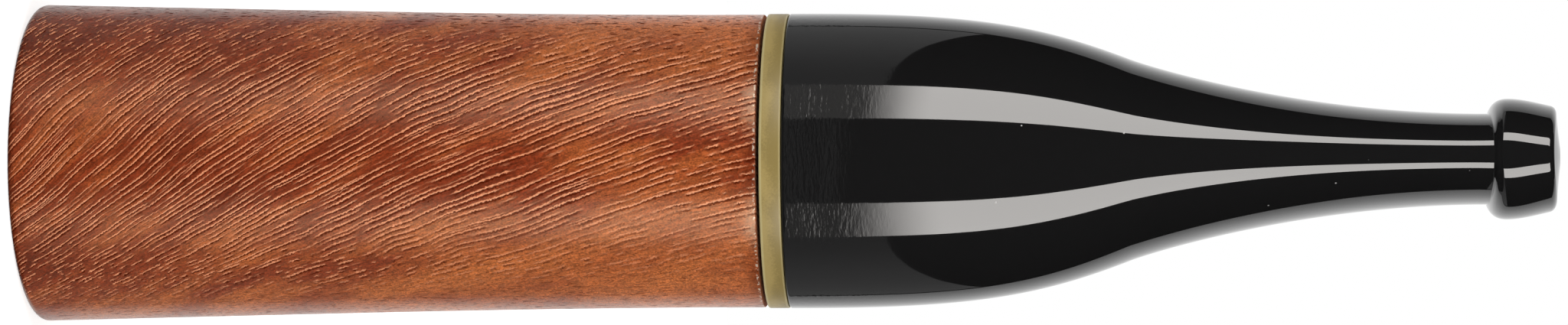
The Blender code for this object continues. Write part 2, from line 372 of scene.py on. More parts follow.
def noise(vector, detail=0.0, size=1.0):
    """Smooth noise from 0 to 1, with grains of about the given size."""
    return vector.node(
        "ShaderNodeTexNoise", inputs={"Vector": vector, "Scale": 1 / size, "Detail": detail}
    )


def ease(value, start, end, low=0.0, high=1.0):
    """Goes smoothly from low to high as the value goes from start to end."""
    return value.node(
        "ShaderNodeMapRange",
        {"interpolation_type": "SMOOTHSTEP"},
        {"Value": value, "From Min": start, "From Max": end, "To Min": low, "To Max": high},
    )


def blend(share, first, second):
    """Mixes two colours."""
    return share.node(
        "ShaderNodeMix", {"data_type": "RGBA"}, {"Factor": share, 6: first, 7: second}, output=2
    )


def paint(shader, colour, rough, height, strength, depth):
    """Gives a shader its colour, its roughness, and a relief in which a height of 1 is the depth."""
    relief = {"Height": height, "Strength": strength, "Distance": depth}
    plug(shader.inputs["Base Color"], colour)
    plug(shader.inputs["Roughness"], rough)
    plug(shader.inputs["Normal"], height.node("ShaderNodeBump", inputs=relief))


print("variation helpers are ready")

# %% [markdown]
# ## Briar grain
# Briar is the burr of a heath shrub. Cut one way it shows long fine lines, and on the faces a quarter
# turn away the same fibres come out end on, as specks. The lines here rise steeply at the rim and lie
# down towards the joint. A picture would fit one view only, so the grain is a formula: a height that
# climbs across the lines is cut into rows, each row gets a light line with a dark one below it, and
# noise breaks the rows into dashes.

# %% Grain lines
RADIUS_MM = rim_radius / MM
LENGTH_MM = barrel_length / MM
RISE_AT_RIM = 1.05
RISE_LOSS = 0.0155
RISE_REGAIN = 0.000103
SWAY_SIZE = 9.0
RIPPLE_SIZE = 2.6
FRAY_SIZE = 0.13
LONG_DASH = 2.6
SHORT_DASH = 0.7


def grain_height(up, along, side, place):
    """Climbs by a millimetre for each millimetre across the grain lines, which bend along the barrel."""
    share = up / RADIUS_MM
    bend = (1 - along / LENGTH_MM) * (0.42 * share - 0.24) * share
    rise = along * (RISE_AT_RIM - RISE_LOSS * along + RISE_REGAIN * along * along)
    sway = (noise(place, 1.0, SWAY_SIZE) - 0.5) * 1.1
    ripple = (noise(place, 1.0, RIPPLE_SIZE) - 0.5) * (0.24 + 0.4 * side)
    fray = (noise(place, 1.0, FRAY_SIZE) - 0.5) * (0.17 + 0.13 * side)
    return up * (1 + bend) - rise + sway + ripple + fray


def grain_rows(height, along, depth, side, broken, gap, size, seed, shown):
    """Light lines with dark lines below, one of each to a row, in dashes that are short where broken."""
    level = height / gap + seed
    row = level.math("FLOOR")
    shift = row.node("ShaderNodeTexWhiteNoise", {"noise_dimensions": "1D"}, {"W": row})
    offset = (level - row - 0.5 + (shift - 0.5) * 0.4) * gap / (1 + 0.5 * side * side)
    long_dash = noise(join(along / LONG_DASH + shift * 7, row * 1.3, depth / 1.3), 1.0)
    short_dash = noise(join(along / SHORT_DASH + shift * 7, row * 1.3, depth / 0.5), 1.0)
    dash = long_dash + (short_dash - long_dash) * broken
    drawn = ease(dash - 0.08 * broken, shown, shown + 0.14)
    light = drawn * ease(offset.math("ABSOLUTE"), 0.3 * size, 1.3 * size, 1.0, 0.0)
    dark = drawn * ease((offset + 1.9 * size).math("ABSOLUTE"), 0.3 * size, 1.9 * size, 1.0, 0.0)
    return light, dark


print(f"the grain is drawn over {LENGTH_MM:.1f} mm of wood")

# %% [markdown]
# ## Briar colour
# Stained briar goes from a deep red through red brown to tan, in soft patches that follow the grain. In
# the photograph it gets lighter towards the joint, most of all along the two sides, so a slow drift is
# added to the patches. Fibres and specks that are finer than the lines shade it on a small scale.

# %% Ground colour
DEEP_RED = (0.11, 0.009, 0.002)
RED_BROWN = (0.218, 0.032, 0.0075)
TAN = (0.46, 0.125, 0.029)
PATCH_SIZE = (2.3, 8.0, 5.0)
FIBRE_SIZE = (0.1, 0.9, 0.25)
SPECK_SIZE = (0.1, 0.1, 0.12)


def ground_colour(place, grained, up, travel):
    """The wood's colour without its lines, the fibres that shade it, and a mask of its low side."""
    patches = noise(stretch(grained, *PATCH_SIZE), 3.0)
    fibres = noise(stretch(grained, *FIBRE_SIZE), 2.0)
    specks = noise(stretch(place, *SPECK_SIZE), 1.0)
    low_side = ease(0 - up / RADIUS_MM, 0.2, 0.6)
    top_side = ease(up / RADIUS_MM, 0.35, 0.8)
    middle = ease((travel - 0.5).math("ABSOLUTE"), 0.0, 0.2, 0.045, 0.0)
    low_edge = ease(0 - up / RADIUS_MM, 0.7, 0.86) * (1 - travel) * 0.1
    drift = (travel - 0.46) * 0.13 + low_side * (0.02 + 0.23 * travel)
    drift = drift + top_side * (travel - 0.4) * 0.58
    tone = ease(patches + drift + middle + low_edge, 0.05, 0.97)
    stops = [(0.0, DEEP_RED), (0.5, RED_BROWN), (1.0, TAN)]
    colour = tone.node("ShaderNodeValToRGB", {"stops": stops}, {"Fac": tone})
    shade = ease(fibres, 0.3, 0.7, 0.72, 1.28) * ease(specks, 0.3, 0.7, 0.68, 1.32)
    colour = colour.node("ShaderNodeVectorMath", {"operation": "SCALE"}, {0: colour, "Scale": shade})
    return colour, fibres, low_side


print("ground colours run from deep red to tan")

# %% [markdown]
# ## Worn, shaded and unwaxed places
# The rim is darker, and the wood next to the joint is darkened as painted shade where it meets the ring.
# Small chips along the joint's edge show bare wood. The wax is on the outside only, so the joint's flat
# face and the bores are dull. Each of these is a mask by position, so the barrel can stay one piece with
# one finish. Distances are in millimetres.

# %% Edges and bores
LINE_DARK = (0.07, 0.007, 0.001)
WORN_EDGE = (0.5, 0.4, 0.32)
BORE_EDGE = (8.0, 8.3)


def edge_wear_and_shade(colour, place, x, depth, along):
    """Darkens the rim, paints shade by the joint, chips the joint's edge, and masks what is unwaxed."""
    across = (x * x + depth * depth).math("SQRT")
    joint_face = ease(along, LENGTH_MM - 0.06, LENGTH_MM - 0.01)
    unwaxed = ease(across, *BORE_EDGE, 1.0, 0.0).math("MAXIMUM", joint_face)
    chips = ease(noise(place, 1.0, 0.2), 0.52, 0.6) * ease(along, LENGTH_MM - 0.2, LENGTH_MM - 0.12)
    chips = chips * (1 - joint_face)
    rim = ease(along, 0.1, 0.45, 0.55, 0.0)
    # painted shade: the last millimetre of wood before the joint is darkened where it meets the ring
    joint = ease(along, LENGTH_MM - 1.0, LENGTH_MM - 0.15, 0.0, 0.4)
    colour = blend(rim + joint, colour, LINE_DARK)
    return blend(chips, colour, WORN_EDGE), unwaxed


print(f"wood within {BORE_EDGE[0]:.1f} mm of the axis is left unwaxed")

# %% [markdown]
# ## Briar finish
# A plain dull shader is mixed in on the dark lines, the flecks and the pores, so they take no sheen. The
# sheen on the rest comes partly from fibres under the wax, so it is tinted, and drawn out along the
# barrel.

# %% Briar finish
LINE_GAP = 0.39
LINE_SIZE = 0.057
FINE_GAP = 0.29
FINE_SIZE = 0.043
BEAD_SIZE = 0.11
FLECK_SIZE = (0.2, 0.2, 0.6)
PORE_SIZE = (0.07, 0.6, 0.2)
LINE_LIGHT = (0.8, 0.31, 0.155)
WAXED_ROUGHNESS = (0.27, 0.34)
UNWAXED_EXTRA_ROUGHNESS = 0.55
GRAIN_DEPTH = 0.03 * MM
SHEEN = {
    "Specular Tint": (1.0, 0.74, 0.5),
    "Specular IOR Level": 1.0,
    "IOR": 1.56,
    "Anisotropic": 0.5,
    "Anisotropic Rotation": 0.25,
}


def briar():
    material, shader, place = new_finish("briar")
    x, depth, along = split(place)
    up = 0 - x
    side = (up / RADIUS_MM).math("ABSOLUTE")
    height = grain_height(up, along, side, place)
    grained = join(height, along, depth)
    travel = along / LENGTH_MM
    face = ease(side + 0.2 * travel, 0.78, 1.0, 1.0, 0.0)
    broken = ease(side, 0.42, 0.78).math("MAXIMUM", ease(travel, 0.73, 0.94, 0.0, 0.55))
    colour, fibres, low_side = ground_colour(place, grained, up, travel)

    where = (height, along, depth, side, broken)
    light, dark = grain_rows(*where, LINE_GAP, LINE_SIZE, 0.0, 0.38)
    fine_light, fine_dark = grain_rows(*where, FINE_GAP, FINE_SIZE, 0.37, 0.54)
    beads = ease(noise(place, 1.0, BEAD_SIZE), 0.3, 0.55, 0.65, 1.0)
    drawn = face * (1 - low_side * ease(travel, 0.3, 0.9, 0.0, 0.5))
    light = light.math("MAXIMUM", fine_light * 0.8) * drawn * beads
    dark = dark.math("MAXIMUM", fine_dark * 0.8) * drawn
    flecks = ease(noise(stretch(place, *FLECK_SIZE), 1.0), 0.57, 0.68)
    flecks = flecks * (1 - 0.8 * face) * (1 - 0.5 * low_side)
    pores = ease(noise(stretch(grained, *PORE_SIZE), 1.0), 0.6, 0.74, 0.0, 0.6)
    # the dark line below each light line, the flecks and the pores get the plain dull shader
    dull_marks = dark.math("MAXIMUM", flecks).math("MAXIMUM", pores) * (0.88 - 0.84 * light)
    colour = blend(light * 0.95, colour, LINE_LIGHT)
    colour, unwaxed = edge_wear_and_shade(colour, place, x, depth, along)

    rough = ease(fibres, *NOISE_SPAN, *WAXED_ROUGHNESS) + UNWAXED_EXTRA_ROUGHNESS * unwaxed
    paint(shader, colour, rough, light - dark + 0.3 * fibres, 0.25, GRAIN_DEPTH)
    for socket, value in SHEEN.items():
        plug(shader.inputs[socket], value)
    dull_shader = place.node("ShaderNodeBsdfDiffuse", inputs={"Color": LINE_DARK})
    waxed = Wire(shader.outputs["BSDF"])
    surface = place.node("ShaderNodeMixShader", inputs={"Fac": dull_marks, 1: waxed, 2: dull_shader})
    plug(material.node_tree.nodes["Material Output"].inputs["Surface"], surface)
    return material


BRIAR = briar()
print("briar:", len(BRIAR.node_tree.nodes), "nodes")

# %% [markdown]
# ## Barrel
# The barrel tapers a little from its rim to the joint. Its mouth is a cone that grips the cigar, and a
# deeper straight bore at the other end takes the mouthpiece's tenon. The rounded rim and the sharp edge
# at the joint catch the light differently, so both are in the outline.

# %% Barrel
SOCKET_MOUTH_RADIUS = 7.75 * MM
RIM_ROUND = 0.5 * MM
MOUTH_ROUND = 0.4 * MM
BARREL_TAPER = 0.0216
EDGE = 0.1 * MM
LEAD_IN = 0.5 * MM
SLIDE_FIT = 0.1 * MM
THROAT_FIT = 0.5 * MM
END_GAP = 0.3 * MM
RING_PROUD = 0.04 * MM

joint_radius = ring_high.x - RING_PROUD
mortise_radius = tenon_high.x + SLIDE_FIT
throat_radius = sleeve_high.x + THROAT_FIT
socket_depth = tenon_low.z - END_GAP


def barrel_outline():
    third = barrel_length / 3
    rim = arc((rim_radius - RIM_ROUND, RIM_ROUND), RIM_ROUND, -90, 0)
    taper = curve(
        (rim_radius, RIM_ROUND),
        (rim_radius - BARREL_TAPER * third, third),
        (joint_radius, barrel_length - third),
        (joint_radius, barrel_length - EDGE),
    )
    top = arc((joint_radius - EDGE, barrel_length - EDGE), EDGE, 0, 90, steps=3)
    mortise = [
        (mortise_radius + LEAD_IN, barrel_length),
        (mortise_radius, barrel_length - LEAD_IN),
        (mortise_radius, socket_depth),
        (throat_radius, socket_depth),
    ]
    mouth = arc((SOCKET_MOUTH_RADIUS + MOUTH_ROUND, MOUTH_ROUND), MOUTH_ROUND, 180, 270)
    return rim + taper[1:] + top[1:] + mortise + mouth


fit(turn_on_lathe("briar_barrel", barrel_outline(), BRIAR), "barrel", "barrel")

# %% [markdown]
# ## Amber ring
# A thin ring of cast acrylic sets the wood off from the black. Cast acrylic is cloudy inside, so its
# olive amber drifts a little. It is also made darker towards the black, and a lighter colour at its two
# broken edges paints fine highlight lines there.

# %% Amber ring
AMBER_DARK = (0.235, 0.175, 0.054)
AMBER_LIGHT = (0.34, 0.255, 0.085)
AMBER_EDGE_HIGHLIGHT = (0.46, 0.4, 0.2)
AMBER_ROUGHNESS = (0.34, 0.48)


def amber_acrylic():
    material, shader, place = new_finish("amber_acrylic")
    along = split(place)[2]
    cloud = noise(stretch(place, 2.6, 2.6, 1.4), 2.0)
    grain = noise(place, 1.0, 0.12)
    low, high = ring_low.z / MM, ring_high.z / MM
    lean = ease(along, low, high, 0.12, -0.15)
    colour = blend(ease(cloud * 0.7 + grain * 0.3 + lean, *CLOUD_SPAN), AMBER_DARK, AMBER_LIGHT)
    # painted highlight: both edges of the ring get a lighter colour for the light that they catch
    low_edge = ease(along, low + 0.08, low + 0.2, 0.8, 0.0)
    high_edge_highlight = ease(along, high - 0.14, high - 0.06, 0.0, 0.5)
    colour = blend(low_edge + high_edge_highlight, colour, AMBER_EDGE_HIGHLIGHT)
    rough = ease(grain, *NOISE_SPAN, *AMBER_ROUGHNESS)
    turning_marks = noise(stretch(place, 1.5, 1.5, 0.05), 1.0)
    paint(shader, colour, rough, turning_marks, 0.12, FINE_DEPTH)
    return material


def ring_outline():
    outer = ring_high.x
    low = arc((outer - EDGE, ring_low.z + EDGE), EDGE, -90, 0, steps=4)
    high = arc((outer - EDGE, ring_high.z - EDGE), EDGE, 0, 90, steps=4)
    return [(mortise_radius, ring_low.z)] + low + high + [(mortise_radius, ring_high.z)]


ring = turn_on_lathe("amber_ring", ring_outline(), amber_acrylic())
fit(ring, "mouthpiece", "accent_ring")

# %% [markdown]
# ## Black acrylic
# The mouthpiece is polished until it mirrors the room. Next to the ring the polish is thinner, because a
# wheel is kept off the ring's edge, so fine marks stay there. They run round the piece and break up the
# reflection. A few specks of dust sit on the gloss. The bands of light in the photograph are brighter
# than plain acrylic gives, so the index of refraction is set a little high.

# %% Black acrylic finish
POLISH_START = bit_low.z / MM + 1.0
POLISH_END = bit_low.z / MM + 7.0
POLISHED_ROUGHNESS = 0.03
SCUFF_SIZE = (0.6, 0.6, 0.17)
SCUFF_HEIGHT = 4.5
ACRYLIC_INDEX = 1.66
BLACK = (0.008, 0.008, 0.0083)
DUST = (0.5, 0.5, 0.5)


def black_acrylic():
    material, shader, place = new_finish("black_acrylic")
    along = split(place)[2]
    smear = (noise(place, 2.0, 1.6) - 0.5) * 3.0
    matte = ease(along + smear, POLISH_START, POLISH_END, 1.0, 0.0)
    scuffs = noise(stretch(place, *SCUFF_SIZE), 2.0)
    swirls = noise(place, 1.0, 2.2)
    cells = {"Vector": place, "Scale": 0.42, "Randomness": 1.0}
    dust_cell = place.node("ShaderNodeTexVoronoi", inputs=cells, output="Distance")
    dust = ease(dust_cell, 0.018, 0.03, 1.0, 0.0)
    colour = blend(dust * 0.7, BLACK, DUST)
    rough = POLISHED_ROUGHNESS + matte * ease(scuffs, 0.35, 0.75, 0.01, 0.07) + dust * 0.4
    paint(shader, colour, rough, matte * scuffs * SCUFF_HEIGHT + swirls, 0.1, FINE_DEPTH)
    plug(shader.inputs["IOR"], ACRYLIC_INDEX)
    return material


BLACK_ACRYLIC = black_acrylic()
print("black acrylic:", len(BLACK_ACRYLIC.node_tree.nodes), "nodes")

# %% [markdown]
# ## Mouthpiece sizes
# This is the piece that takes the most skill. It starts round at the ring, narrows to a slim neck, and is
# pressed flat on the way, so that it sits between the teeth behind a lip. Its outside and its smoke way
# share the sizes below. Heights are measured from its face at the ring.

# %% Mouthpiece sizes
CHAMBER_END = 17.2 * MM
TAPER_LEAD = 3.0 * MM
NECK_RUN = 21.0 * MM
DRAFT_RADIUS = 1.3 * MM
NECK_HALF_THICK = DRAFT_RADIUS + 1.37 * MM
SLOT_HALF_WIDTH = 2.8 * MM
NECK_HALF_WIDE = SLOT_HALF_WIDTH + 2.7 * MM
FILTER_FIT = 0.2 * MM

body_radius = bit_high.y
chamber_radius = sleeve_high.x + FILTER_FIT
neck_end = CHAMBER_END + TAPER_LEAD + NECK_RUN
lip_end = bit_high.z - bit_low.z
print(f"neck {2 * NECK_HALF_THICK / MM:.2f} mm thick and {2 * NECK_HALF_WIDE / MM:.2f} mm wide")

# %% [markdown]
# ## Lip
# The lip keeps the holder behind the teeth. Seen thin, a round shoulder climbs to a crest, the top falls
# slowly, and a round edge leads over to a slightly domed end. Two Bezier curves and an arc give that.

# %% Lip outline
LIP_RISE = 0.89 * MM
LIP_CREST = 1.2 * MM
LIP_SHOULDER_HANDLES = (0.15 * MM, 1.1 * MM)
LIP_FALL = 0.43 * MM
LIP_FALL_HANDLES = (0.8 * MM, 0.8 * MM)
LIP_END_ROUND = 0.4 * MM
LIP_END_ANGLES = (13, 80)
LIP_END_DOME = 0.2 * MM


def lip_end_round():
    """The round edge of the lip's end, which stops short of square at the dome."""
    start, end = (math.radians(angle) for angle in LIP_END_ANGLES)
    radius = NECK_HALF_THICK + LIP_RISE - LIP_FALL - LIP_END_ROUND * math.cos(start)
    height = lip_end - LIP_END_DOME - LIP_END_ROUND * math.sin(end)
    return arc((radius, height), LIP_END_ROUND, *LIP_END_ANGLES, steps=12)


def lip_outline():
    """Half thickness of the lip: its shoulder, crest, fall and round end."""
    foot = (NECK_HALF_THICK, neck_end)
    crest = (NECK_HALF_THICK + LIP_RISE, neck_end + LIP_CREST)
    ending = lip_end_round()
    fall = Vector((-math.tan(math.radians(LIP_END_ANGLES[0])), 1.0))
    shoulder = curve(
        foot,
        (foot[0], foot[1] + LIP_SHOULDER_HANDLES[0]),
        (crest[0], crest[1] - LIP_SHOULDER_HANDLES[1]),
        crest,
        steps=28,
    )
    middle = curve(
        crest,
        (crest[0], crest[1] + LIP_FALL_HANDLES[0]),
        Vector(ending[0]) - fall * LIP_FALL_HANDLES[1],
        ending[0],
        steps=16,
    )
    return shoulder + middle[1:-1] + ending


print(f"lip from {neck_end / MM:.2f} to {lip_end / MM:.2f} mm")

# %% [markdown]
# ## Body and neck
# Seen thin, the body runs straight for a moment, rolls over a shoulder onto an even slope, and hollows
# into a waist that ends in the neck. Two Bezier curves meet on that slope.

# %% Outline seen thin
BODY_STRAIGHT = 0.6 * MM
TAPER_WALL = 1.38 * MM
TAPER_SLOPE = 0.392
SHOULDER_HANDLES = (10.1 * MM, 5.8 * MM)
WAIST_HANDLES = (1.2 * MM, 10.8 * MM)


def thin_outline():
    """Half thickness up the outside: body, shoulder, waist, neck and lip."""
    middle = Vector((chamber_radius + TAPER_WALL, CHAMBER_END + TAPER_LEAD))
    along = Vector((-TAPER_SLOPE, 1.0)).normalized()
    shoulder = curve(
        (body_radius, BODY_STRAIGHT),
        (body_radius, BODY_STRAIGHT + SHOULDER_HANDLES[0]),
        middle - along * SHOULDER_HANDLES[1],
        middle,
    )
    waist = curve(
        middle,
        middle + along * WAIST_HANDLES[0],
        (NECK_HALF_THICK, neck_end - WAIST_HANDLES[1]),
        (NECK_HALF_THICK, neck_end),
    )
    face = arc((body_radius - EDGE, EDGE), EDGE, -90, 0, steps=4) + [(body_radius, 2 * EDGE)]
    return face + shoulder + waist[1:] + lip_outline()[1:]


print(len(thin_outline()), "points from the ring to the lip's end")

# %% [markdown]
# ## Ovals up the outside
# Seen wide, the mouthpiece only tapers. Each height of the thin outline gets an oval, whose half width
# follows one long curve to the neck and then rises less at the lip than the thickness does.

# %% Outside sections
WIDTH_STRAIGHT = 3.0 * MM
WIDTH_HANDLES = (13.7 * MM, 10.5 * MM)
LIP_SIDE_RISE = 0.3 * MM


def outside_sections():
    """Ovals up the outside, each a half thickness, a half width and a height."""
    run = curve(
        (body_radius, WIDTH_STRAIGHT),
        (body_radius, WIDTH_STRAIGHT + WIDTH_HANDLES[0]),
        (NECK_HALF_WIDE, neck_end - WIDTH_HANDLES[1]),
        (NECK_HALF_WIDE, neck_end),
        steps=96,
    )
    side_share = LIP_SIDE_RISE / LIP_RISE
    end_thick, end_start = lip_end_round()[0]
    sections = []
    for thick, height in thin_outline():
        if height <= WIDTH_STRAIGHT:
            wide = thick
        elif height <= neck_end:
            wide = max(thick, radius_at(run, height))
        elif height <= end_start:
            wide = NECK_HALF_WIDE + (thick - NECK_HALF_THICK) * side_share
        else:
            wide = NECK_HALF_WIDE + (end_thick - NECK_HALF_THICK) * side_share + thick - end_thick
        sections.append((thick, wide, height))
    return sections


print(len(outside_sections()), "ovals up the outside")

# %% [markdown]
# ## Smoke way
# The smoke passes from the filter's chamber through a funnel and a narrow draft hole to a slot in the
# lip, which is wide and flat to spread it. It is a run of ovals too, so the lathe skins the outside and
# the inside in one go, and the piece is closed.

# %% Smoke way and skin
SLOT_HALF_HEIGHT = 0.7 * MM
SLOT_LENGTH = 7.5 * MM
SLOT_STEPS = 12
FUNNEL_WALL = 0.9 * MM
FUNNEL_LENGTH = 5.5 * MM
SEAT_DEPTH = 7.0 * MM


def smoke_way():
    """Ovals down the inside: the slot, the draft hole, the funnel, the chamber and the seat."""
    slot = []
    for i in range(SLOT_STEPS + 1):
        share = (i / SLOT_STEPS) ** 2
        thick = DRAFT_RADIUS + (SLOT_HALF_HEIGHT - DRAFT_RADIUS) * share
        wide = DRAFT_RADIUS + (SLOT_HALF_WIDTH - DRAFT_RADIUS) * share
        slot.append((thick, wide, lip_end - SLOT_LENGTH * (1 - i / SLOT_STEPS)))
    round_way = [
        (DRAFT_RADIUS, CHAMBER_END + FUNNEL_LENGTH),
        (chamber_radius - FUNNEL_WALL, CHAMBER_END),
        (chamber_radius, CHAMBER_END),
        (chamber_radius, SEAT_DEPTH),
        (mortise_radius, SEAT_DEPTH),
        (mortise_radius, 0.0),
    ]
    return slot[::-1] + [(radius, radius, height) for radius, height in round_way]


ovals = [(thick, wide, height + bit_low.z) for thick, wide, height in outside_sections() + smoke_way()]
mouthpiece = turn_on_lathe("black_mouthpiece", ovals, BLACK_ACRYLIC)

# %% [markdown]
# ## Filing the bit
# The bit is finished by hand. The lip's foot is straight, but from its crest on it is bowed, so it lies a
# little further back at its two narrow sides. A file takes the crown off those sides and leaves a soft
# corner at each edge of them, so they are squarer than an oval, and the lights show as thin lines there.
# All are small moves of the points that the lathe has made.

# %% Bow the lip and file its narrow sides
LIP_BOW = 0.55 * MM
LIP_BOW_LEAD = 0.85 * MM
FILED_DEPTH = 0.06 * MM
FILED_HALF_WIDTH = 0.5 * MM
FILED_RUN = (14.0 * MM, 30.0 * MM)
CREST_FILED_DEPTH = 0.1 * MM
CREST_FILED_HALF_WIDTH = 1.3 * MM
CREST_FILED_LENGTH = 1.2 * MM
CORNER_DEPTH = 0.16 * MM
CORNER_SHARES = (0.56, 0.88)
CORNER_RUN = (18.0 * MM, 34.0 * MM)


def smooth_share(value, start, end):
    """Goes smoothly from 0 to 1 as the value goes from start to end."""
    share = min(max((value - start) / (end - start), 0.0), 1.0)
    return share * share * (3 - 2 * share)


def bell(value, width):
    """Falls smoothly from 1 at zero to almost nothing at twice the width."""
    return math.exp(-((value / width) ** 2))


def file_bit(mesh):
    thin = thin_outline()
    crest_height = neck_end + LIP_CREST
    for vertex in mesh.vertices:
        x, y, z = vertex.co
        height = z - bit_low.z
        bow = LIP_BOW * smooth_share(height, crest_height - LIP_BOW_LEAD, crest_height)
        vertex.co.z = z - bow * (y / NECK_HALF_WIDE) ** 2
        if abs(y) > SLOT_HALF_WIDTH + FILED_DEPTH:
            share = abs(x) / radius_at(thin, height)
            corner = CORNER_DEPTH * smooth_share(height, *CORNER_RUN)
            filed = FILED_DEPTH * smooth_share(height, *FILED_RUN)
            filed *= 1 - smooth_share(height, crest_height, lip_end)
            crest = CREST_FILED_DEPTH * bell(height - crest_height, CREST_FILED_LENGTH)
            move = corner * (1 - smooth_share(share, *CORNER_SHARES))
            move -= filed * bell(x, FILED_HALF_WIDTH) + crest * bell(x, CREST_FILED_HALF_WIDTH)
            vertex.co.y = y + math.copysign(move, y)
    mesh.update()


file_bit(mouthpiece.data)
fit(mouthpiece, "mouthpiece", "mouthpiece")
print(f"the lip's ends lie {LIP_BOW / MM:.2f} mm back")

# %% [markdown]
# ## Tenon
# The tenon is a plain tube of white engineering plastic, slippery enough to push in and out of wood for
# years. A lathe leaves fine rings on it, and its leading edge is eased.

# %% Tenon
TENON_LEAD_IN = 0.48 * MM
TENON_DULL = (0.66, 0.63, 0.56)
TENON_CLEAN = (0.76, 0.74, 0.69)
SMALL_SEGMENTS = 128


def tenon_plastic():
    material, shader, place = new_finish("tenon_plastic")
    rings = noise(stretch(place, 6.0, 6.0, 0.06), 1.0)
    haze = noise(place, 2.0, 2.5)
    colour = blend(ease(haze * 0.7 + rings * 0.3, 0.3, 0.7), TENON_DULL, TENON_CLEAN)
    paint(shader, colour, ease(rings, *NOISE_SPAN, 0.38, 0.52), rings, 0.25, FINE_DEPTH)
    return material


def tenon_outline():
    bore = chamber_radius
    outer = tenon_high.x
    low, high = tenon_low.z, tenon_high.z
    return [
        (bore + TENON_LEAD_IN, low),
        (outer - TENON_LEAD_IN, low),
        (outer, low + TENON_LEAD_IN),
        (outer, high),
        (bore, high),
        (bore, low + TENON_LEAD_IN),
    ]


def finer(outline, step=0.5 * MM):
    """Adds points along the straight runs of a closed outline, so long faces aren't slivers."""
    points = []
    for start, end in zip(outline, outline[1:] + outline[:1]):
        count = max(1, math.ceil((Vector(end) - Vector(start)).length / step))
        points += [tuple(Vector(start).lerp(Vector(end), i / count)) for i in range(count)]
    return points


tenon = turn_on_lathe("tenon_tube", finer(tenon_outline()), tenon_plastic(), SMALL_SEGMENTS)
fit(tenon, "tenon", "tenon")

# %% [markdown]
# ## Filter sleeve
# The filter is a paper tube with a cap at each end and charcoal between. The tube is wound from soft
# paper, so its pulp shows as faint flecks along it and it has no gloss.

# %% Filter sleeve
SLEEVE_WALL = 0.4 * MM
PAPER_DARK = (0.7, 0.64, 0.52)
PAPER_LIGHT = (0.83, 0.8, 0.72)
PULP_DEPTH = 0.03 * MM


def filter_paper():
    material, shader, place = new_finish("filter_paper")
    pulp = noise(stretch(place, 0.25, 0.25, 0.6), 3.0)
    cloud = noise(place, 1.0, 1.5)
    colour = blend(ease(pulp * 0.6 + cloud * 0.4, *CLOUD_SPAN), PAPER_DARK, PAPER_LIGHT)
    paint(shader, colour, ease(pulp, *NOISE_SPAN, 0.75, 0.92), pulp, 0.3, PULP_DEPTH)
    return material


def sleeve_outline():
    outer = sleeve_high.x
    inner = outer - SLEEVE_WALL
    low, high = sleeve_low.z, sleeve_high.z
    return [(inner, low), (outer, low), (outer, high), (inner, high)]


sleeve = turn_on_lathe("filter_paper_tube", finer(sleeve_outline()), filter_paper(), SMALL_SEGMENTS)
fit(sleeve, "filter", "filter_sleeve")

# %% [markdown]
# ## Drilling the filter caps
# The caps are small dished discs with a ring of holes and one in the middle. Holes repeat, so Geometry
# Nodes drill them: a circle of points carries one pin to each hole, and a Boolean takes the pins away.

# %% The drill tree
PIN_SIDES = 32


def drill_tree():
    tree, given = new_tree(
        "drill", Plug="Geometry", Holes="Int", Circle="Float", Radius="Float", Depth="Float",
        Height="Float", Finish="Material",
    )
    start = given["Plug"]
    ring_sizes = {"Vertices": given["Holes"], "Radius": given["Circle"]}
    circle = start.node("GeometryNodeMeshCircle", inputs=ring_sizes)
    centre = start.node("GeometryNodeMeshLine", inputs={"Count": 1})
    spots = start.node("GeometryNodeJoinGeometry")
    for part in (circle, centre):
        tree.links.new(part.socket, spots.socket.node.inputs[0])
    pin_sizes = {"Vertices": PIN_SIDES, "Radius": given["Radius"], "Depth": given["Depth"]}
    pin = start.node("GeometryNodeMeshCylinder", inputs=pin_sizes)
    pins = start.node("GeometryNodeInstanceOnPoints", inputs={"Points": spots, "Instance": pin})
    rise = start.node("ShaderNodeCombineXYZ", inputs={"Z": given["Height"]})
    raised = start.node("GeometryNodeTransform", inputs={"Geometry": pins, "Translation": rise})
    real = start.node("GeometryNodeRealizeInstances", inputs={"Geometry": raised})
    drilled = start.node(
        "GeometryNodeMeshBoolean",
        {"operation": "DIFFERENCE", "solver": "EXACT"},
        {"Mesh 1": start, "Mesh 2": real},
    )
    end_tree(tree, drilled, given["Finish"])
    return tree


DRILL = drill_tree()
print("drill:", len(DRILL.nodes), "nodes")

# %% [markdown]
# ## Filter caps
# The cap at the cigar's end is unglazed ceramic, because it meets the heat, and the one at the mouth's
# end is plain plastic. They share a shape and differ in the side they face and in their finish.

# %% Filter caps
CAP_LAND = 0.9 * MM
CAP_DISH = 0.6 * MM
CAP_DISH_SLOPE = 0.4 * MM
CAP_HOLE_RADIUS = 0.6 * MM
CAP_HOLE_CIRCLE = 1.8 * MM
CAP_HOLES = 6
CAP_SEGMENTS = 96
AXIS_RADIUS = 1e-6


def cap_material(name, dark, light, rough):
    material, shader, place = new_finish(name)
    grit = noise(place, 2.0, 0.18)
    cloud = noise(place, 1.0, 1.1)
    colour = blend(ease(grit * 0.5 + cloud * 0.5, *CLOUD_SPAN), dark, light)
    paint(shader, colour, ease(grit, *NOISE_SPAN, rough, rough + 0.15), grit, 0.3, FINE_DEPTH)
    return material


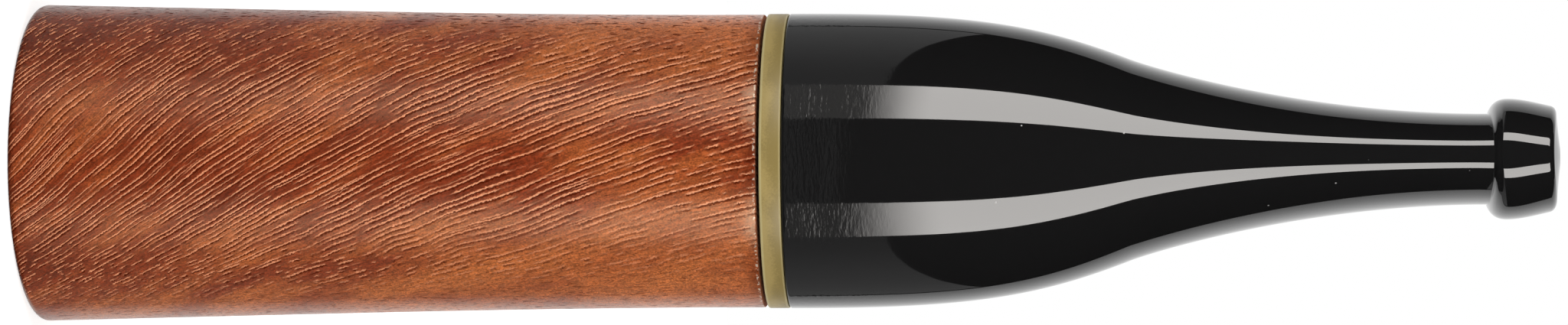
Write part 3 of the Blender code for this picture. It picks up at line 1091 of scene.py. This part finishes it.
def filter_cap(name, node, faces_up, finish):
    """A dished disc with a ring of holes and one in the middle."""
    low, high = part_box(node)
    outer = high.x
    floor_radius = outer - CAP_LAND - CAP_DISH_SLOPE
    face, back, inward = (high.z, low.z, -CAP_DISH) if faces_up else (low.z, high.z, CAP_DISH)
    outline = [
        (AXIS_RADIUS, face + inward),
        (floor_radius, face + inward),
        (outer - CAP_LAND, face),
        (outer, face),
        (outer, back),
        (AXIS_RADIUS, back),
    ]
    blank = turn_on_lathe(name + "_blank", outline, finish, CAP_SEGMENTS)
    cap = make(
        name, DRILL, blank.data, Holes=CAP_HOLES, Circle=CAP_HOLE_CIRCLE, Radius=CAP_HOLE_RADIUS,
        Depth=3 * (high.z - low.z), Height=(low.z + high.z) / 2, Finish=finish,
    )
    bpy.data.objects.remove(blank)
    fit(cap, "filter", node)


ceramic = cap_material("cap_ceramic", (0.68, 0.65, 0.6), (0.82, 0.8, 0.76), 0.55)
cap_plastic = cap_material("cap_plastic", (0.72, 0.72, 0.7), (0.82, 0.82, 0.8), 0.42)
filter_cap("front_filter_cap", "filter_cap_front", False, ceramic)
filter_cap("rear_filter_cap", "filter_cap_rear", True, cap_plastic)

# %% [markdown]
# ## Charcoal
# The charcoal is a bed of loose grains. One small ball is placed at random points inside the sleeve and
# squeezed and turned differently each time, with a fixed seed, so the bed is the same at every run.

# %% The grain tree
SQUEEZE = 0.6


def grain_tree():
    tree, given = new_tree(
        "grains", Start="Geometry", Count="Int", Radius="Float", Low="Float", High="Float", Size="Float",
        Seed="Int", Finish="Material",
    )
    start = given["Start"]

    def draw(low, high, order, kind="FLOAT"):
        """A random value for each grain."""
        limits = {"Min": low, "Max": high, "Seed": given["Seed"] + order}
        return start.node("FunctionNodeRandomValue", {"data_type": kind}, limits, "Value")

    reach = given["Radius"] - given["Size"]
    away = draw(0.0, 1.0, 1).math("SQRT") * reach
    angle = draw(0.0, math.tau, 2)
    height = draw(given["Low"] + given["Size"], given["High"] - given["Size"], 3)
    spot = join(away * angle.math("COSINE"), away * angle.math("SINE"), height)
    row = start.node("GeometryNodeMeshLine", inputs={"Count": given["Count"]})
    points = start.node("GeometryNodeSetPosition", inputs={"Geometry": row, "Position": spot})
    ball = {"Radius": given["Size"], "Subdivisions": 1}
    grain = start.node("GeometryNodeMeshIcoSphere", inputs=ball)
    turn_by = draw((0.0,) * 3, (math.tau,) * 3, 4, "FLOAT_VECTOR")
    scale_by = draw((SQUEEZE,) * 3, (1.0,) * 3, 5, "FLOAT_VECTOR")
    placed = start.node(
        "GeometryNodeInstanceOnPoints",
        inputs={"Points": points, "Instance": grain, "Rotation": turn_by, "Scale": scale_by},
    )
    end_tree(tree, placed, given["Finish"])
    return tree


GRAINS = grain_tree()
print("grains:", len(GRAINS.nodes), "nodes")

# %% [markdown]
# ## Charcoal finish
# Charcoal is a dull black, a little greyer where a grain is broken, so fine noise mixes two dark greys
# and roughens the surface.

# %% Charcoal grains
GRAIN_SIZE = 0.55 * MM
GRAIN_COUNT = 900
GRAIN_SEED = 11
COAL = (0.006, 0.006, 0.006)
BROKEN_COAL = (0.05, 0.05, 0.052)
COAL_DEPTH = 0.05 * MM


def charcoal():
    material, shader, place = new_finish("charcoal")
    grit = noise(place, 3.0, 0.15)
    colour = blend(ease(grit, 0.35, 0.7), COAL, BROKEN_COAL)
    paint(shader, colour, ease(grit, *NOISE_SPAN, 0.7, 0.95), grit, 0.5, COAL_DEPTH)
    return material


coal_low, coal_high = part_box("filter_charcoal")
grains = make(
    "charcoal_grains", GRAINS, bpy.data.meshes.new("grains"), Count=GRAIN_COUNT, Radius=coal_high.x,
    Low=coal_low.z, High=coal_high.z, Size=GRAIN_SIZE, Seed=GRAIN_SEED, Finish=charcoal(),
)
fit(grains, "filter", "filter_charcoal")

# %% [markdown]
# ## Panels that glow
# Gloss shows what stands round it, so the studio is a set of curved panels that glow. Lamps could light
# the holder too, but a panel's edges and fades are easier to set. The panels are hidden from the camera,
# because they aren't part of the holder.

# %% Panel helpers
PANEL_DISTANCE = 0.6
PANEL_STEPS = 96
NO_LIGHT = (0.0, 0.0, 0.0)
WHITE = (1.0, 1.0, 1.0)
WARM_WHITE = (1.0, 0.97, 0.94)


def fading(name, colour, strength, part, fade, start, end):
    """A glow that goes from one share to another along one part (x, y or z) of its place, in metres."""
    material = bpy.data.materials.new(name)
    material.use_nodes = True
    tree = material.node_tree
    tree.nodes.clear()
    lamp = tree.nodes.new("ShaderNodeEmission")
    target = tree.nodes.new("ShaderNodeOutputMaterial")
    tree.links.new(lamp.outputs[0], target.inputs[0])
    place = Wire(tree.nodes.new("ShaderNodeTexCoord").outputs["Object"])
    glow = ease(split(place)[part], *fade, start, end)
    plug(lamp.inputs["Color"], blend(glow, NO_LIGHT, colour))
    plug(lamp.inputs["Strength"], strength)
    return material


def panel(name, angles, heights, material, radius=PANEL_DISTANCE, flare=0.0):
    """A panel bent round the axis, at angles from the camera in degrees. The flare lifts its last end."""
    points = []
    for i in range(PANEL_STEPS + 1):
        share = i / PANEL_STEPS
        a = math.radians(angles[0] + (angles[1] - angles[0]) * share) + CAMERA_AZIMUTH
        x, y = math.sin(a) * radius, -math.cos(a) * radius
        points += [(x, y, heights[0]), (x, y, heights[1] + flare * share ** 2)]
    faces = [(2 * i, 2 * i + 2, 2 * i + 3, 2 * i + 1) for i in range(PANEL_STEPS)]
    mesh = bpy.data.meshes.new(name)
    mesh.from_pydata(points, [], faces)
    mesh.materials.append(material)
    obj = add_object(name, mesh)
    obj.visible_camera = False


print("panel helpers are ready")

# %% [markdown]
# ## Studio
# The photograph is lit by two tall strip lights, one to each side of the camera, which show as two pale
# bands along the black gloss. Each fades at its foot. A white backdrop behind the holder gives the bright
# line at its edges, a dim low kerb on either side gives the grey next to the ring, and a weak glow at the
# front takes the hardest black off. Their edges and fades are set from the bands in the photograph.

# %% Strips, kerbs and backdrop
STRIP_ANGLES = (33, 61)
STRIP_HEIGHTS = (-0.03, 0.62)
STRIP_STRENGTH = 7.0
STRIP_FOOT_GLOWS = (0.025, 0.045)
STRIP_FADES = ((0.02, 0.11), (0.036, 0.098))
KERB_RADIUS = 0.99
KERB_ANGLES = (58, 130)
KERB_HEIGHTS = (-0.5, 0.062)
KERB_FLARE = 0.065
KERB_FADE = (-0.5, 0.3)
KERB_NEAR_GLOW = 0.55
KERB_GLOWS = (0.24, 0.33)
FRONT_ANGLES = (-33, 33)
FRONT_HEIGHTS = (-0.03, 0.02)
FRONT_FADE = (0.002, 0.018)
FRONT_GLOW = 0.11
BACKDROP_ANGLES = (131, 229)
BACKDROP_HEIGHTS = (-0.5, 0.9)
BACKDROP_FADE = (0.55 * PANEL_DISTANCE, 0.99 * PANEL_DISTANCE)
BACKDROP_END_GLOW = 0.38
Y_PART, Z_PART = 1, 2

for side, sign, foot_glow, fade, kerb_glow in zip(
    ("right", "left"), (1, -1), STRIP_FOOT_GLOWS, STRIP_FADES, KERB_GLOWS
):
    strip = fading(side + "_strip", WARM_WHITE, STRIP_STRENGTH, Z_PART, fade, foot_glow, 1.0)
    panel(side + "_strip", [sign * angle for angle in STRIP_ANGLES], STRIP_HEIGHTS, strip)
    kerb = fading(side + "_kerb", WHITE, kerb_glow, Y_PART, KERB_FADE, KERB_NEAR_GLOW, 1.0)
    kerb_angles = [sign * angle for angle in KERB_ANGLES]
    panel(side + "_kerb", kerb_angles, KERB_HEIGHTS, kerb, KERB_RADIUS, KERB_FLARE)
front = fading("front_glow", WHITE, FRONT_GLOW, Z_PART, FRONT_FADE, 1.0, 0.0)
panel("front_glow", FRONT_ANGLES, FRONT_HEIGHTS, front)
backdrop = fading("backdrop", WHITE, 1.0, Y_PART, BACKDROP_FADE, BACKDROP_END_GLOW, 1.0)
panel("backdrop", BACKDROP_ANGLES, BACKDROP_HEIGHTS, backdrop)
print("the lights are in place")

# %% [markdown]
# ## Floor
# The floor is pale and lit, and what the camera sees of it is lifted to white, so only the shadow close
# to the rim is left. It is hidden from the gloss, because in the photograph nothing below the holder
# shows in the black.

# %% Floor
FLOOR_RADIUS = 0.5
FLOOR_LOOK = {
    "Base Color": (0.9, 0.9, 0.9),
    "Roughness": 0.9,
    "Specular IOR Level": 0.0,
    "Emission Strength": 0.6,
}

pale = bpy.data.materials.new("pale_floor")
pale.use_nodes = True
pale_shader = pale.node_tree.nodes["Principled BSDF"]
for socket, value in FLOOR_LOOK.items():
    plug(pale_shader.inputs[socket], value)
floor_rays = pale.node_tree.nodes.new("ShaderNodeLightPath")
floor_seen = Wire(floor_rays.outputs["Is Camera Ray"])
plug(pale_shader.inputs["Emission Color"], blend(floor_seen, NO_LIGHT, WHITE))

floor_mesh = bpy.data.meshes.new("floor")
disc = bmesh.new()
bmesh.ops.create_circle(disc, cap_ends=True, segments=128, radius=FLOOR_RADIUS)
disc.to_mesh(floor_mesh)
disc.free()
floor_mesh.materials.append(pale)
floor = add_object("floor", floor_mesh)
floor.visible_glossy = False
print(f"floor {2 * FLOOR_RADIUS:.1f} m across")

# %% [markdown]
# ## World
# Past the floor the camera sees plain white. The gloss doesn't see that white: the black in the
# photograph mirrors a dark room with lights in it, and a white one would turn it grey. A little even
# light fills the shadows.

# %% World
AMBIENT = 0.05

world = bpy.data.worlds.new("studio")
bpy.context.scene.world = world
world.use_nodes = True
background = world.node_tree.nodes["Background"]
world_rays = world.node_tree.nodes.new("ShaderNodeLightPath")
seen = Wire(world_rays.outputs["Is Camera Ray"])
lit = Wire(world_rays.outputs["Is Diffuse Ray"])
plug(background.inputs["Color"], WHITE)
plug(background.inputs["Strength"], seen.math("MAXIMUM", lit * AMBIENT))
bpy.context.scene.view_settings.view_transform = "Standard"
print(f"white world, with {AMBIENT} of even light")
